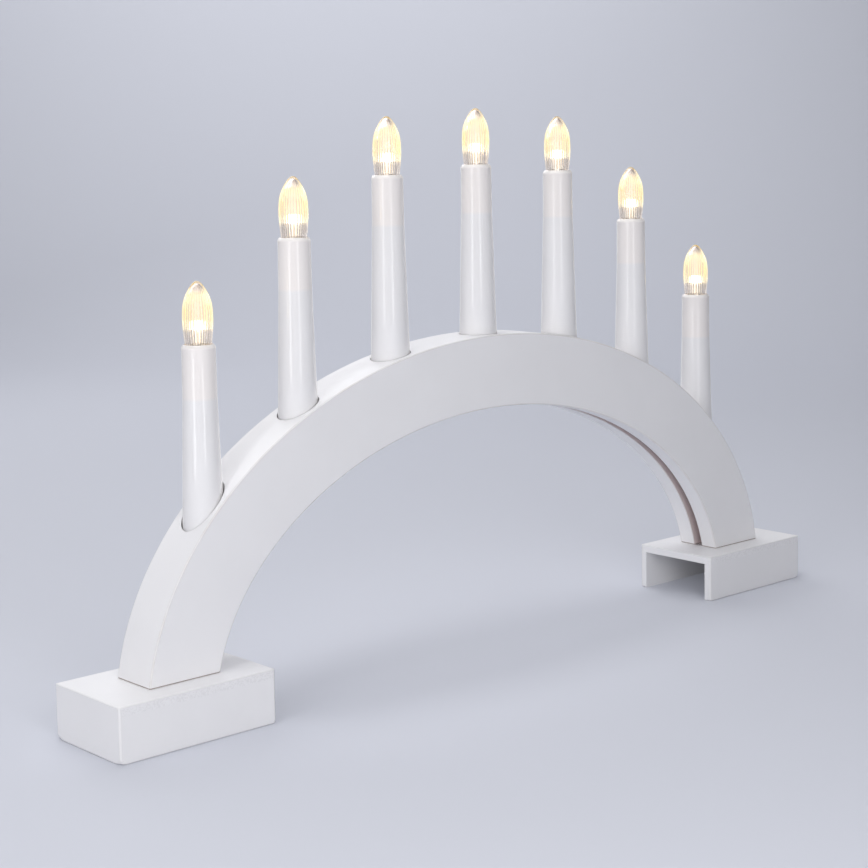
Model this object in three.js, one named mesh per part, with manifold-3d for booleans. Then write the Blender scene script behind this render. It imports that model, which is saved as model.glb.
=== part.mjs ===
// Electric advent candlestick: a white arch on two hollow feet. Seven candle tubes stand in the arch and
// hold screw-in bulbs, wired along a channel in the arch's inner edge to a battery box in the left foot.
// Millimetres, +Z up, +X along the arch. The origin lies on the table, under the middle of the arch.
import * as THREE from "three";
import { mergeVertices } from "three/addons/utils/BufferGeometryUtils.js";
import Module from "manifold-3d";

// Fits
const CLEARANCE = 0.3; // between pieces that seat on, or slide in, each other
const CUT_OVERRUN = 5; // how far a cutting body reaches past the face it cuts
const WELD = 1e-4; // corners closer than this are one
const BISECTIONS = 60; // halvings when a place on a curve is looked for

// Feet
const SPAN = 510; // over the outer ends of the two feet
const FOOT_LENGTH = 89;
const FOOT_WIDTH = 56;
const FOOT_HEIGHT = 27.2;
const FOOT_BOARD = 4.5; // thickness of the boards
const FOOT_ROUNDING = 1.2; // along the long upper edges

// Arch: an ellipse outside, and a curve parallel to it inside
const FOOT_MARGIN = 24.5; // from the outer end of a foot to the ellipse's widest point
const ARCH_RISE = 167.5; // vertical half axis of the ellipse
const ARCH_DROP = 18.3; // from the top of the feet down to the ellipse's centre
const ARCH_BAND = 40; // from the outer edge to the inner one
const ARCH_THICKNESS = 28;
const ARCH_EASE = 1; // bevel along the edges of both faces
const CHANNEL_WIDTH = 6;
const CHANNEL_DEPTH = 10;

// Screws that hold the arch on the feet
const SCREW_LENGTH = 30;
const SCREW_DIAMETER = 3.5;
const SCREW_POINT = 5;
const SCREW_HEAD_DIAMETER = 7;
const SCREW_HEAD_EDGE = 0.5;

// Candle places along the arch
const CANDLE_PLACES = [0, 0.278, 0.549, 0.808]; // shares of the arch's half width, to both sides
const SEAT_DEPTHS = [12.6, 10.4, 19.3, 26.9]; // on the hole's axis, in the same order
const SEAT_CLEARANCE = 0.6; // round the foot of a tube
const WIRE_BORE = 5; // diameter of the hole from a seat into the channel

// Bulbs: a ribbed flame on a screw base
const BASE_DIAMETER = 9.5;
const BASE_LENGTH = 10; // of the screw shell below the neck
const BASE_COLLAR = 3.5; // of the screw shell inside the neck
const TIP_DIAMETER = 4.8;
const TIP_LENGTH = 1.6;
const NECK_WALL = 1.55;
const NECK_DEPTH = 3; // of the neck inside the tube's mouth
const BULB_DIAMETER = 14.9;
const BULB_HEIGHT = 30.5; // above the tube's mouth
const BULB_WALL = 1.2;
const FLAME = [[1, 0.38], [0.97, 0.6], [0.76, 0.785], [0.42, 0.93]]; // share of radius, share of height
const FLAME_HOLLOW = [[1, 0.28], [1, 0.55], [0.62, 0.785], [0, 0.9]]; // the same for the hollow inside
const FLUTE_COUNT = 20;
const FLUTE_DEPTH = 0.45;
const LED_DIAMETER = 5;
const LED_LENGTH = 5;
const LED_STEM_DIAMETER = 3.2;
const LED_STEM_LENGTH = 7;

// Sockets and candle tubes
const SOCKET_LENGTH = 22.7;
const SOCKET_FLOOR = 2;
const SOCKET_SKIRT = 1.5;
const SOCKET_LEDGE = 0.4; // how far the tube's lip reaches over the socket
const SOCKET_LEAD_IN = 0.6;
const TUBE_LENGTH = 105;
const TUBE_WALL = 1.4;
const TUBE_BEVEL = 0.8; // round the mouth
const TUBE_NECK_FLARE = 0.4; // growth in diameter along the straight part that holds the socket
const TUBE_FOOT_FLARE = 4.2; // growth in diameter from there to the foot

// Wiring
const LOOM_DIAMETER = 2;
const LOOM_RISE = 45; // height over the foot where the loom's tail leaves the channel's floor
const LOOM_TAIL = 6; // length of the tail inside the battery box

// Battery box
const CELL_DIAMETER = 14.2;
const CELL_LENGTH = 50.5; // over the button
const CELL_BUTTON_DIAMETER = 5.5;
const CELL_BUTTON_HEIGHT = 1.2;
const CELL_EDGE = 0.6;
const CELL_GAP = 0.6; // between the two cells
const CELL_RIB_WIDTH = 1.2;
const CELL_RIB_HEIGHT = 3.8;
const CONTACT_THICKNESS = 0.4;
const CONTACT_SIZE = 10;
const SPRING_LENGTH = 2.4;
const SPRING_WIRE = 0.6;
const SPRING_FOOT_DIAMETER = 8;
const SPRING_TIP_DIAMETER = 4.6;
const SPRING_TURNS = 2;
const TRAY_WALL = 1.2;
const SWITCH_BAY = 12;
const WIRE_PLACE = 1.6; // from the divider to the loom's axis
const PAD_LENGTH = 40;
const PAD_WIDTH = 20;
const PAD_THICKNESS = 1;
const RAIL_WIDTH = 1; // of the tray's rail, which the cover's hooks run on
const RAIL_HEIGHT = 1.2;
const COVER_THICKNESS = 1.6;
const COVER_SIDE = 1.2;
const COVER_HOOK = 1;
const GRIP_COUNT = 4;
const GRIP_PITCH = 3;
const GRIP_WIDTH = 1;
const GRIP_LENGTH = 14;
const GRIP_HEIGHT = 0.5;

// Switch
const SWITCH_TRAVEL = 3.5;
const SLIDER_PLATE = 1.2;
const SLIDER_LENGTH = 6;
const SLIDER_HEIGHT = 5;
const KNOB_LENGTH = 3.5;
const KNOB_HEIGHT = 3;
const KNOB_REACH = 2.5; // out of the tray's end wall
const SWITCH_BODY_DEPTH = 5;
const SWITCH_BODY_WALL = 1.3;

// Facets
const ARCH_STEPS = 40;
const SEAT_SIDES = 24;
const TUBE_SIDES = 18;
const SMALL_SIDES = 12;
const LED_SIDES = 8;
const LOOM_SIDES = 8;
const LOOM_STEPS = 48;
const SPRING_SIDES = 6;
const SPRING_STEPS = 20;
const ROUNDING_STEPS = 3;

// Sizes that follow from the ones above
const ARCH_HALF_WIDTH = SPAN / 2 - FOOT_MARGIN;
const ARCH_CENTRE_Z = FOOT_HEIGHT - ARCH_DROP;
const FOOT_UNDERSIDE = FOOT_HEIGHT - FOOT_BOARD; // of the top board
const NECK_BORE = BASE_DIAMETER / 2 + CLEARANCE;
const NECK_RADIUS = NECK_BORE + NECK_WALL;
const MOUTH_RADIUS = NECK_RADIUS + CLEARANCE;
const SOCKET_HOUSING = MOUTH_RADIUS + SOCKET_LEDGE;
const SOCKET_TOP = -NECK_DEPTH - CLEARANCE;
const SOCKET_BOTTOM = SOCKET_TOP - SOCKET_LENGTH;
const BASE_BOTTOM = -NECK_DEPTH - BASE_LENGTH - TIP_LENGTH;
const SOCKET_SEAT = BASE_BOTTOM - CLEARANCE; // the floor that the bulb's tip meets
const SOCKET_UNDERSIDE = SOCKET_SEAT - SOCKET_FLOOR;
const TUBE_TOP_RADIUS = MOUTH_RADIUS + TUBE_WALL;
const TUBE_NECK_RADIUS = TUBE_TOP_RADIUS + TUBE_NECK_FLARE / 2;
const TUBE_FOOT_RADIUS = TUBE_NECK_RADIUS + TUBE_FOOT_FLARE / 2;
const SEAT_RADIUS = TUBE_FOOT_RADIUS + SEAT_CLEARANCE;

// Finishes
const PAINT = { color: 0xeceaec, roughness: 0.6, metalness: 0 };
const GLOSSY_WHITE = { color: 0xf2f0ee, roughness: 0.25, metalness: 0 };
const WHITE_PLASTIC = { color: 0xe6e4df, roughness: 0.5, metalness: 0 };
const CLEAR_GLASS = { color: 0xfff6dc, roughness: 0.1, metalness: 0 };
const LED_RESIN = { color: 0xffd58a, roughness: 0.3, metalness: 0 };
const NICKEL = { color: 0xc9c6bd, roughness: 0.3, metalness: 0.9 };
const BLACK_PLASTIC = { color: 0x1d1d1f, roughness: 0.5, metalness: 0 };
const CELL_WRAP = { color: 0x4c6b4a, roughness: 0.4, metalness: 0.2 };
const FOAM = { color: 0x8d8d90, roughness: 0.9, metalness: 0 };

const wasm = await Module();
wasm.setup();

// Geometry helpers

function toSolid(geometry) {
  const bare = geometry.clone();
  bare.deleteAttribute("normal");
  bare.deleteAttribute("uv");
  const merged = mergeVertices(bare, WELD);
  const corners = merged.index.array;
  const triangles = [];
  for (let i = 0; i < corners.length; i += 3) {
    const [a, b, c] = corners.slice(i, i + 3);
    if (a !== b && b !== c && c !== a) triangles.push(a, b, c);
  }
  const vertProperties = merged.attributes.position.array;
  const mesh = new wasm.Mesh({ numProp: 3, vertProperties, triVerts: Uint32Array.from(triangles) });
  return new wasm.Manifold(mesh);
}

function toGeometry(solid) {
  const { vertProperties, triVerts } = solid.getMesh();
  const geometry = new THREE.BufferGeometry();
  geometry.setAttribute("position", new THREE.BufferAttribute(vertProperties, 3));
  geometry.setIndex(new THREE.BufferAttribute(triVerts, 1));
  geometry.computeVertexNormals();
  return geometry;
}

function cut(geometry, cutters) {
  const remains = cutters.reduce((solid, cutter) => solid.subtract(toSolid(cutter)), toSolid(geometry));
  return toGeometry(remains);
}

function join(geometries) {
  return toGeometry(geometries.map(toSolid).reduce((solid, other) => solid.add(other)));
}

// A box between two corners
function block(low, high) {
  const size = high.map((value, i) => value - low[i]);
  const centre = high.map((value, i) => (value + low[i]) / 2);
  return new THREE.BoxGeometry(...size).translate(...centre);
}

// A round bar along Z
function bar(radius, x, y, lowZ, highZ, sides) {
  const geometry = new THREE.CylinderGeometry(radius, radius, highZ - lowZ, sides);
  return geometry.rotateX(Math.PI / 2).translate(x, y, (lowZ + highZ) / 2);
}

// A profile of radius and height, turned about Z
function turn(profile, sides) {
  const points = profile.map(([radius, z]) => new THREE.Vector2(radius, z));
  return new THREE.LatheGeometry(points, sides).rotateX(Math.PI / 2);
}

// A profile in Y and Z, pulled along X from lowX to highX
function pull(shape, lowX, highX) {
  const options = { depth: highX - lowX, curveSegments: ROUNDING_STEPS, bevelEnabled: false };
  const geometry = new THREE.ExtrudeGeometry(shape, options);
  const across = new THREE.Vector3(0, 1, 0);
  const up = new THREE.Vector3(0, 0, 1);
  const along = new THREE.Vector3(1, 0, 0);
  return geometry.applyMatrix4(new THREE.Matrix4().makeBasis(across, up, along)).translate(lowX, 0, 0);
}

// A round tube along a curve
function sweep(curve, radius, sides, steps) {
  const section = new THREE.Shape().absarc(0, 0, radius, 0, 2 * Math.PI);
  const options = { extrudePath: curve, steps, curveSegments: sides / 2, bevelEnabled: false };
  return new THREE.ExtrudeGeometry(section, options);
}

function part(name, geometry, finish) {
  const mesh = new THREE.Mesh(geometry, new THREE.MeshStandardMaterial(finish));
  mesh.name = name;
  return mesh;
}

// Curve of the arch

// Point at parameter t on the curve that runs inside the ellipse at a distance of inset
function archPoint(t, inset) {
  const normal = new THREE.Vector2(ARCH_RISE * Math.cos(t), ARCH_HALF_WIDTH * Math.sin(t)).normalize();
  const outer = new THREE.Vector2(ARCH_HALF_WIDTH * Math.cos(t), ARCH_CENTRE_Z + ARCH_RISE * Math.sin(t));
  return outer.addScaledVector(normal, -inset);
}

// Where a steadily rising function reaches zero
function bisect(rising, low, high) {
  for (let i = 0; i < BISECTIONS; i += 1) {
    const middle = (low + high) / 2;
    if (rising(middle) < 0) low = middle;
    else high = middle;
  }
  return (low + high) / 2;
}

// Parameter where the right leg's curve stands at height z
function parameterAtHeight(inset, z) {
  return bisect((t) => archPoint(t, inset).y - z, -Math.PI / 2, Math.PI / 2);
}

// Parameter where the curve passes over x
function parameterAtPlace(inset, x) {
  return bisect((t) => x - archPoint(t, inset).x, 0, Math.PI);
}

function bandEdge(inset, baseZ) {
  const start = parameterAtHeight(inset, baseZ);
  const points = [];
  for (let i = 0; i <= ARCH_STEPS; i += 1) {
    points.push(archPoint(start + ((Math.PI - 2 * start) * i) / ARCH_STEPS, inset));
  }
  points[0].y = baseZ;
  points[ARCH_STEPS].y = baseZ;
  return points;
}

function bandShape(outerInset, innerInset, baseZ) {
  return new THREE.Shape([...bandEdge(outerInset, baseZ), ...bandEdge(innerInset, baseZ).reverse()]);
}

// Legs of the arch where they stand on the feet
const LEG_OUTER_X = archPoint(parameterAtHeight(0, FOOT_HEIGHT), 0).x;
const LEG_INNER_X = archPoint(parameterAtHeight(ARCH_BAND, FOOT_HEIGHT), ARCH_BAND).x;
const SCREW_X = (LEG_OUTER_X + LEG_INNER_X) / 2;
const SCREW_Y = (ARCH_THICKNESS + CHANNEL_WIDTH) / 4;

// Candle places, from left to right
const outermost = CANDLE_PLACES.length - 1;
const candles = [];
for (let i = -outermost; i <= outermost; i += 1) {
  const x = Math.sign(i) * CANDLE_PLACES[Math.abs(i)] * ARCH_HALF_WIDTH;
  const archTop = archPoint(parameterAtPlace(0, x), 0).y;
  const seatZ = archTop - SEAT_DEPTHS[Math.abs(i)];
  candles.push({ number: candles.length + 1, x, archTop, seatZ, mouthZ: seatZ + CLEARANCE + TUBE_LENGTH });
}

// Loom: it lies along the channel's floor, from the last candle to the left leg
const LOOM_INSET = ARCH_BAND - CHANNEL_DEPTH + CLEARANCE + LOOM_DIAMETER / 2;
const loomHeight = (x) => archPoint(parameterAtPlace(LOOM_INSET, x), LOOM_INSET).y;

// Places inside the battery box: X from its outer end inwards, Z down from the foot's top board
const TRAY_TOP = -PAD_THICKNESS;
const TRAY_CEILING = TRAY_TOP - TRAY_WALL;
const CELL_Z = TRAY_CEILING - CLEARANCE - CELL_DIAMETER / 2;
const CELL_Y = (CELL_DIAMETER + CELL_GAP) / 2;
const TRAY_RIM = CELL_Z - CELL_DIAMETER / 2;
const TRAY_HALF_WIDTH = CELL_Y + CELL_DIAMETER / 2 + CLEARANCE + TRAY_WALL;
const BAY_START = TRAY_WALL;
const BAY_LENGTH = 2 * CONTACT_THICKNESS + SPRING_LENGTH + CELL_LENGTH + 2 * CLEARANCE;
const BAY_END = BAY_START + BAY_LENGTH;
const SWITCH_START = BAY_END + TRAY_WALL;
const SWITCH_END = SWITCH_START + SWITCH_BAY;
const TRAY_LENGTH = SWITCH_END + TRAY_WALL;
const WIRE_X = SWITCH_START + WIRE_PLACE;
const WIRE_HOLE = LOOM_DIAMETER / 2 + CLEARANCE;
const BOX_X = -SPAN / 2 + FOOT_BOARD + CLEARANCE;
const KNOB_ROOM = (KNOB_LENGTH + SWITCH_TRAVEL) / 2 + CLEARANCE;

// Arch

function archGeometry() {
  const flat = ARCH_THICKNESS - 2 * ARCH_EASE;
  const options = {
    depth: flat,
    bevelThickness: ARCH_EASE,
    bevelSize: ARCH_EASE,
    bevelOffset: -ARCH_EASE,
    bevelSegments: 1,
  };
  const board = new THREE.ExtrudeGeometry(bandShape(0, ARCH_BAND, FOOT_HEIGHT), options);
  board.rotateX(Math.PI / 2).translate(0, flat / 2, 0);

  const channelFloor = ARCH_BAND - CHANNEL_DEPTH;
  const channelShape = bandShape(channelFloor, ARCH_BAND + CUT_OVERRUN, FOOT_HEIGHT - CUT_OVERRUN);
  const channel = new THREE.ExtrudeGeometry(channelShape, { depth: CHANNEL_WIDTH, bevelEnabled: false });
  channel.rotateX(Math.PI / 2).translate(0, CHANNEL_WIDTH / 2, 0);

  const cutters = [channel];
  for (const { x, archTop, seatZ } of candles) {
    const slopeTop = archTop + 2 * SEAT_RADIUS;
    cutters.push(bar(SEAT_RADIUS, x, 0, seatZ, slopeTop, SEAT_SIDES));
    cutters.push(bar(WIRE_BORE / 2, x, 0, loomHeight(x), seatZ + CLEARANCE, SMALL_SIDES));
  }
  const pilotRadius = SCREW_DIAMETER / 2 + CLEARANCE;
  const pilotTop = FOOT_UNDERSIDE + SCREW_LENGTH + 2 * CLEARANCE;
  for (const x of [-SCREW_X, SCREW_X]) {
    for (const y of [-SCREW_Y, SCREW_Y]) {
      cutters.push(bar(pilotRadius, x, y, FOOT_HEIGHT - CUT_OVERRUN, pilotTop, SMALL_SIDES));
    }
  }
  return cut(board, cutters);
}

// Feet

function footTopShape() {
  const half = FOOT_WIDTH / 2;
  const shape = new THREE.Shape();
  shape.moveTo(-half, FOOT_UNDERSIDE);
  shape.lineTo(half, FOOT_UNDERSIDE);
  shape.absarc(half - FOOT_ROUNDING, FOOT_HEIGHT - FOOT_ROUNDING, FOOT_ROUNDING, 0, Math.PI / 2);
  shape.absarc(-half + FOOT_ROUNDING, FOOT_HEIGHT - FOOT_ROUNDING, FOOT_ROUNDING, Math.PI / 2, Math.PI);
  return shape;
}

// Outline of a countersunk wood screw that points up from z = 0
function screwProfile(gap) {
  const shank = SCREW_DIAMETER / 2 + gap;
  const head = SCREW_HEAD_DIAMETER / 2 + gap;
  const shoulder = SCREW_HEAD_EDGE + head - shank;
  return [
    [0, 0],
    [head, 0],
    [head, SCREW_HEAD_EDGE],
    [shank, shoulder],
    [shank, SCREW_LENGTH - SCREW_POINT],
    [0, SCREW_LENGTH],
  ];
}

function footTopGeometry(side) {
  const outer = (side * SPAN) / 2;
  const inner = outer - side * FOOT_LENGTH;
  const shape = footTopShape();
  const board = pull(shape, Math.min(outer, inner), Math.max(outer, inner));
  const cutters = [];
  for (const y of [-SCREW_Y, SCREW_Y]) {
    cutters.push(turn(screwProfile(CLEARANCE), SMALL_SIDES).translate(side * SCREW_X, y, FOOT_UNDERSIDE));
    const mouth = SCREW_HEAD_DIAMETER / 2 + CLEARANCE;
    cutters.push(bar(mouth, side * SCREW_X, y, 0, FOOT_UNDERSIDE + CLEARANCE, SMALL_SIDES));
  }
  if (side < 0) cutters.push(bar(WIRE_HOLE, BOX_X + WIRE_X, 0, 0, FOOT_HEIGHT + CUT_OVERRUN, SMALL_SIDES));
  return cut(board, cutters);
}

function foot(name, side) {
  const group = new THREE.Group();
  const outer = (side * SPAN) / 2;
  const inner = outer - side * FOOT_LENGTH;
  const [low, high] = [Math.min(outer, inner), Math.max(outer, inner)];
  const half = FOOT_WIDTH / 2;
  const inside = half - FOOT_BOARD;
  const endInner = outer - side * FOOT_BOARD;
  const [endLow, endHigh] = [Math.min(outer, endInner), Math.max(outer, endInner)];
  const boards = {
    top: footTopGeometry(side),
    front_wall: block([low, -half, 0], [high, -inside, FOOT_UNDERSIDE]),
    rear_wall: block([low, inside, 0], [high, half, FOOT_UNDERSIDE]),
    end_wall: block([endLow, -inside, 0], [endHigh, inside, FOOT_UNDERSIDE]),
  };
  for (const [board, geometry] of Object.entries(boards)) {
    group.add(part(`${name}_foot_${board}`, geometry, PAINT));
  }
  for (const [place, y] of Object.entries({ front: -SCREW_Y, rear: SCREW_Y })) {
    const screw = part(`${name}_screw_${place}`, turn(screwProfile(0), SMALL_SIDES), NICKEL);
    screw.position.set(side * SCREW_X, y, FOOT_UNDERSIDE + CLEARANCE);
    group.add(screw);
  }
  return group;
}

// Candles: heights are counted from the tube's mouth

function tubeGeometry() {
  const lip = -NECK_DEPTH;
  const neckEnd = SOCKET_BOTTOM;
  return turn(
    [
      [MOUTH_RADIUS, 0],
      [MOUTH_RADIUS, lip],
      [SOCKET_HOUSING, lip],
      [SOCKET_HOUSING, neckEnd],
      [TUBE_FOOT_RADIUS - TUBE_WALL, -TUBE_LENGTH],
      [TUBE_FOOT_RADIUS, -TUBE_LENGTH],
      [TUBE_NECK_RADIUS, neckEnd],
      [TUBE_TOP_RADIUS, -TUBE_BEVEL],
      [TUBE_TOP_RADIUS - TUBE_BEVEL, 0],
      [MOUTH_RADIUS, 0],
    ],
    TUBE_SIDES,
  );
}

function socketGeometry() {
  const radius = SOCKET_HOUSING - CLEARANCE;
  return turn(
    [
      [0, SOCKET_UNDERSIDE],
      [radius - SOCKET_SKIRT, SOCKET_UNDERSIDE],
      [radius - SOCKET_SKIRT, SOCKET_BOTTOM],
      [radius, SOCKET_BOTTOM],
      [radius, SOCKET_TOP],
      [NECK_BORE + SOCKET_LEAD_IN, SOCKET_TOP],
      [NECK_BORE, SOCKET_TOP - SOCKET_LEAD_IN],
      [NECK_BORE, SOCKET_SEAT],
      [0, SOCKET_SEAT],
    ],
    SMALL_SIDES,
  );
}

// Outline of the flame, from the neck's lower end to the tip
function flameProfile() {
  const radius = BULB_DIAMETER / 2;
  return [
    [0, -NECK_DEPTH],
    [NECK_RADIUS, -NECK_DEPTH],
    [NECK_RADIUS, 0],
    ...FLAME.map(([width, height]) => [width * radius, height * BULB_HEIGHT]),
    [0, BULB_HEIGHT],
  ];
}

// Hollow of the flame, open at the neck
function flameHollow() {
  const radius = BULB_DIAMETER / 2 - BULB_WALL - FLUTE_DEPTH;
  return [
    [0, -NECK_DEPTH - CUT_OVERRUN],
    [NECK_BORE, -NECK_DEPTH - CUT_OVERRUN],
    [NECK_BORE, CLEARANCE],
    ...FLAME_HOLLOW.map(([width, height]) => [width * radius, height * BULB_HEIGHT]),
  ];
}

// Ribs: every other line of the turned flame is drawn in, less so towards the tip
function bulbShellGeometry() {
  const profile = flameProfile();
  const flame = turn(profile, 2 * FLUTE_COUNT);
  const position = flame.attributes.position;
  for (let i = 0; i < position.count; i += 1) {
    const line = Math.floor(i / profile.length);
    const [radius] = profile[i % profile.length];
    if (line % 2 === 0 || radius === 0) continue;
    const drawnIn = 1 - FLUTE_DEPTH / (BULB_DIAMETER / 2);
    position.setX(i, position.getX(i) * drawnIn);
    position.setY(i, position.getY(i) * drawnIn);
  }
  return cut(flame, [turn(flameHollow(), SMALL_SIDES)]);
}

function bulbBaseGeometry() {
  const radius = BASE_DIAMETER / 2;
  const shellEnd = -NECK_DEPTH - BASE_LENGTH;
  return turn(
    [
      [0, BASE_BOTTOM],
      [TIP_DIAMETER / 2, BASE_BOTTOM],
      [radius - CLEARANCE, shellEnd],
      [radius, shellEnd + CLEARANCE],
      [radius, BASE_COLLAR - NECK_DEPTH],
      [0, BASE_COLLAR - NECK_DEPTH],
    ],
    SMALL_SIDES,
  );
}

function bulbLedGeometry() {
  const foot = BASE_COLLAR - NECK_DEPTH + CLEARANCE;
  const shoulder = foot + LED_STEM_LENGTH;
  const dome = LED_DIAMETER / 2;
  return turn(
    [
      [0, foot],
      [LED_STEM_DIAMETER / 2, foot],
      [LED_STEM_DIAMETER / 2, shoulder],
      [dome, shoulder],
      [dome, shoulder + LED_LENGTH - dome],
      [dome * Math.SQRT1_2, shoulder + LED_LENGTH - dome * (1 - Math.SQRT1_2)],
      [0, shoulder + LED_LENGTH],
    ],
    LED_SIDES,
  );
}

function candle({ number, x, mouthZ }) {
  const group = new THREE.Group();
  group.position.set(x, 0, mouthZ);
  group.add(part(`candle_tube_${number}`, tubeGeometry(), GLOSSY_WHITE));
  group.add(part(`lamp_socket_${number}`, socketGeometry(), WHITE_PLASTIC));
  group.add(part(`bulb_shell_${number}`, bulbShellGeometry(), CLEAR_GLASS));
  group.add(part(`bulb_base_${number}`, bulbBaseGeometry(), NICKEL));
  group.add(part(`bulb_led_${number}`, bulbLedGeometry(), LED_RESIN));
  return group;
}

// Wiring: a run along the channel, a branch up to each socket and a tail down into the battery box

function loomGeometry() {
  const first = parameterAtPlace(LOOM_INSET, candles[0].x);
  const last = parameterAtPlace(LOOM_INSET, candles[candles.length - 1].x);
  const leg = Math.PI - parameterAtHeight(LOOM_INSET, FOOT_HEIGHT + LOOM_RISE);
  const end = Math.max(first, leg);
  const points = [];
  for (let i = 0; i <= ARCH_STEPS / 2; i += 1) {
    const { x, y } = archPoint(last + ((end - last) * i * 2) / ARCH_STEPS, LOOM_INSET);
    points.push(new THREE.Vector3(x, 0, y));
  }
  const wireX = BOX_X + WIRE_X;
  const boxCeiling = FOOT_UNDERSIDE + TRAY_CEILING;
  points.push(new THREE.Vector3(wireX, 0, FOOT_HEIGHT + LOOM_RISE / 4));
  points.push(new THREE.Vector3(wireX, 0, FOOT_HEIGHT));
  points.push(new THREE.Vector3(wireX, 0, boxCeiling - LOOM_TAIL));
  const radius = LOOM_DIAMETER / 2;
  const run = sweep(new THREE.CatmullRomCurve3(points), radius, LOOM_SIDES, LOOM_STEPS);
  const branches = candles.map(({ x, mouthZ }) =>
    bar(radius, x, 0, loomHeight(x), mouthZ + SOCKET_UNDERSIDE - CLEARANCE, LOOM_SIDES),
  );
  return join([run, ...branches]);
}

// Battery box

function trayGeometry() {
  const width = TRAY_HALF_WIDTH;
  const inside = width - TRAY_WALL;
  const railTop = TRAY_RIM + RAIL_HEIGHT;
  const rail = width + RAIL_WIDTH;
  const below = TRAY_RIM - CUT_OVERRUN;
  const shell = join([
    block([0, -width, TRAY_RIM], [TRAY_LENGTH, width, TRAY_TOP]),
    block([0, -rail, TRAY_RIM], [TRAY_LENGTH, rail, railTop]),
  ]);
  const hollow = cut(shell, [
    block([BAY_START, -inside, below], [BAY_END, inside, TRAY_CEILING]),
    block([SWITCH_START, -inside, below], [SWITCH_END, inside, TRAY_CEILING]),
    bar(WIRE_HOLE, WIRE_X, 0, TRAY_CEILING - CLEARANCE, TRAY_TOP + CUT_OVERRUN, SMALL_SIDES),
    block(
      [SWITCH_END - CLEARANCE, -KNOB_ROOM, CELL_Z - KNOB_HEIGHT / 2 - CLEARANCE],
      [TRAY_LENGTH + CUT_OVERRUN, KNOB_ROOM, CELL_Z + KNOB_HEIGHT / 2 + CLEARANCE],
    ),
  ]);
  const ribHalf = CELL_RIB_WIDTH / 2;
  const ribLow = TRAY_CEILING - CELL_RIB_HEIGHT;
  const ribInset = CONTACT_THICKNESS + SPRING_LENGTH + CLEARANCE;
  const ribEnd = BAY_END - ribInset;
  return join([hollow, block([BAY_START + ribInset, -ribHalf, ribLow], [ribEnd, ribHalf, TRAY_TOP])]);
}

// The cover's section hooks round the tray's rails, so it slides off along X
function coverGeometry() {
  const top = TRAY_RIM - CLEARANCE;
  const bottom = top - COVER_THICKNESS;
  const hookLow = TRAY_RIM + RAIL_HEIGHT + CLEARANCE;
  const hookTop = hookLow + COVER_HOOK;
  const throat = TRAY_HALF_WIDTH + CLEARANCE;
  const inner = TRAY_HALF_WIDTH + RAIL_WIDTH + CLEARANCE;
  const outer = inner + COVER_SIDE;
  const half = [
    [outer, bottom],
    [outer, hookTop],
    [throat, hookTop],
    [throat, hookLow],
    [inner, hookLow],
    [inner, top],
  ];
  const mirrored = half.map(([y, z]) => [-y, z]).reverse();
  const section = new THREE.Shape([...half, ...mirrored].map(([y, z]) => new THREE.Vector2(y, z)));
  const grips = [];
  for (let i = 1; i <= GRIP_COUNT; i += 1) {
    const x = TRAY_LENGTH - i * GRIP_PITCH;
    const low = [x - GRIP_WIDTH / 2, -GRIP_LENGTH / 2, bottom - GRIP_HEIGHT];
    const high = [x + GRIP_WIDTH / 2, GRIP_LENGTH / 2, bottom + COVER_THICKNESS / 2];
    grips.push(block(low, high));
  }
  return join([pull(section, 0, TRAY_LENGTH), ...grips]);
}

// A cell along X, with its button towards +X, counted from its flat end
function cellGeometry() {
  const radius = CELL_DIAMETER / 2;
  const button = CELL_BUTTON_DIAMETER / 2;
  const shoulder = CELL_LENGTH - CELL_BUTTON_HEIGHT;
  const profile = [
    [0, 0],
    [radius - CELL_EDGE, 0],
    [radius, CELL_EDGE],
    [radius, shoulder - CELL_EDGE],
    [radius - CELL_EDGE, shoulder],
    [button, shoulder],
    [button, CELL_LENGTH],
    [0, CELL_LENGTH],
  ];
  return turn(profile, TUBE_SIDES).rotateY(Math.PI / 2);
}

// Tapering coil along X, from a plate at x = 0 to its tip
class SpringCurve extends THREE.Curve {
  getPoint(u, target = new THREE.Vector3()) {
    const angle = 2 * Math.PI * SPRING_TURNS * u;
    const diameter = SPRING_FOOT_DIAMETER + (SPRING_TIP_DIAMETER - SPRING_FOOT_DIAMETER) * u;
    const radius = (diameter - SPRING_WIRE) / 2;
    const x = (SPRING_LENGTH - SPRING_WIRE / 2) * u;
    return target.set(x, radius * Math.cos(angle), radius * Math.sin(angle));
  }
}

function spring(side, x, y) {
  const coil = sweep(new SpringCurve(), SPRING_WIRE / 2, SPRING_SIDES, SPRING_STEPS);
  if (side < 0) coil.rotateZ(Math.PI);
  return coil.translate(x, y, CELL_Z);
}

function contactPlate(x, lowY, highY) {
  const half = CONTACT_SIZE / 2;
  return block([x, lowY - half, CELL_Z - half], [x + CONTACT_THICKNESS, highY + half, CELL_Z + half]);
}

function switchBodyGeometry() {
  const room = (SLIDER_LENGTH + SWITCH_TRAVEL) / 2 + CLEARANCE;
  const roomHeight = SLIDER_HEIGHT / 2 + CLEARANCE;
  const halfLength = room + SWITCH_BODY_WALL;
  const halfHeight = roomHeight + SWITCH_BODY_WALL;
  const back = SWITCH_END - SWITCH_BODY_DEPTH;
  const recess = SWITCH_END - SLIDER_PLATE - 2 * CLEARANCE;
  const body = block([back, -halfLength, CELL_Z - halfHeight], [SWITCH_END, halfLength, CELL_Z + halfHeight]);
  const low = [recess, -room, CELL_Z - roomHeight];
  const high = [SWITCH_END + CUT_OVERRUN, room, CELL_Z + roomHeight];
  return cut(body, [block(low, high)]);
}

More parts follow.
